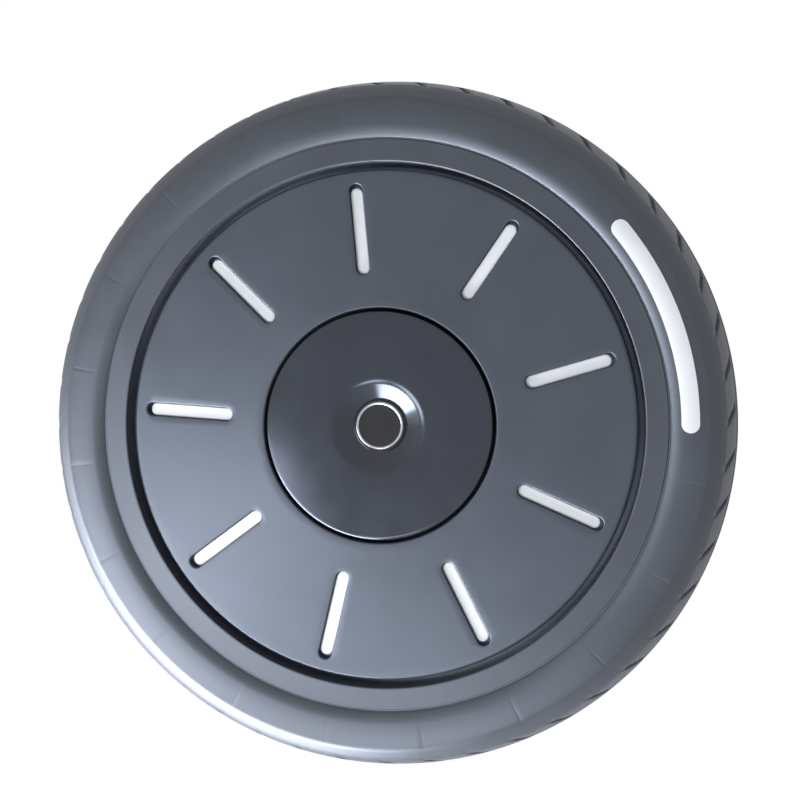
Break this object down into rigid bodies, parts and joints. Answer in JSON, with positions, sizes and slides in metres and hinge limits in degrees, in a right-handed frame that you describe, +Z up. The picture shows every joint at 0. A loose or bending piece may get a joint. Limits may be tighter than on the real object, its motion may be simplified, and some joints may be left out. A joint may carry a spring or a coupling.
{
  "type": "self-balancing scooter wheel",
  "caption": "Hub-motor wheel with a pneumatic tyre, slotted dark disc with white strips, dished centre cap and a hollow flatted axle stub, free to spin about its axle.",
  "frame": {"origin": "on the axle, in the middle plane of the tyre, which is also the centroid of the whole wheel", "axes": "+Y along the axle from the outer face to the mounting end, +Z up, valve at the bottom"},
  "size_m": [0.258, 0.1066, 0.258],
  "materials": {
    "tyre_rubber": "matt moulded black rubber",
    "painted_alloy": "dark grey satin paint on a casting",
    "white_reflector": "white reflective moulding",
    "cap_plastic": "satin moulded black plastic",
    "dark_medallion": "dark face with a bright metallised rim",
    "white_film": "plain white printed film",
    "cover_alloy": "dark satin paint on turned alloy",
    "plated_steel": "zinc-plated steel",
    "seal_rubber": "black nitrile rubber",
    "bearing_steel": "ground bearing steel",
    "axle_steel": "turned steel",
    "spring_steel": "oiled spring steel",
    "cast_alloy": "bare cast alloy",
    "lamination_steel": "bare electrical steel",
    "nylon": "natural nylon",
    "enamelled_copper": "enamelled copper wire",
    "circuit_board": "green solder resist",
    "black_resin": "moulded black resin",
    "nickel_plate": "nickel-plated magnet",
    "valve_brass": "machined brass"
  },
  "bodies": {
    "axle": {"axle": "axle_steel", "stator_key": "axle_steel", "axle_circlip": "spring_steel", "outer_bearing_inner_ring": "bearing_steel", "inner_bearing_inner_ring": "bearing_steel", "stator_carrier": "cast_alloy", "stator_core": "lamination_steel", "stator_insulator_front": "nylon", "stator_insulator_back": "nylon", "windings": "enamelled_copper", "hall_board": "circuit_board", "hall_sensors": "black_resin"},
    "wheel": {"tyre": "tyre_rubber", "wheel_hub": "painted_alloy", "reflector_strips": "white_reflector", "hub_cap": "cap_plastic", "badge": "dark_medallion", "sidewall_label": "white_film", "back_cover": "cover_alloy", "cover_screws": "plated_steel", "cover_seal_ring": "seal_rubber", "oil_seal": "seal_rubber", "outer_bearing_outer_ring": "bearing_steel", "outer_bearing_seals": "seal_rubber", "inner_bearing_outer_ring": "bearing_steel", "inner_bearing_seals": "seal_rubber", "flux_ring": "lamination_steel", "magnets": "nickel_plate", "valve_stem": "valve_brass", "valve_gasket": "seal_rubber", "valve_core": "valve_brass", "valve_cap": "black_resin", "valve_nut": "valve_brass"}
  },
  "joints": [
    {"name": "wheel_spin", "type": "hinge", "parent": "axle", "child": "wheel", "pos_m": [0, 0, 0], "axis": [0, 1, 0], "continuous": true}
  ]
}
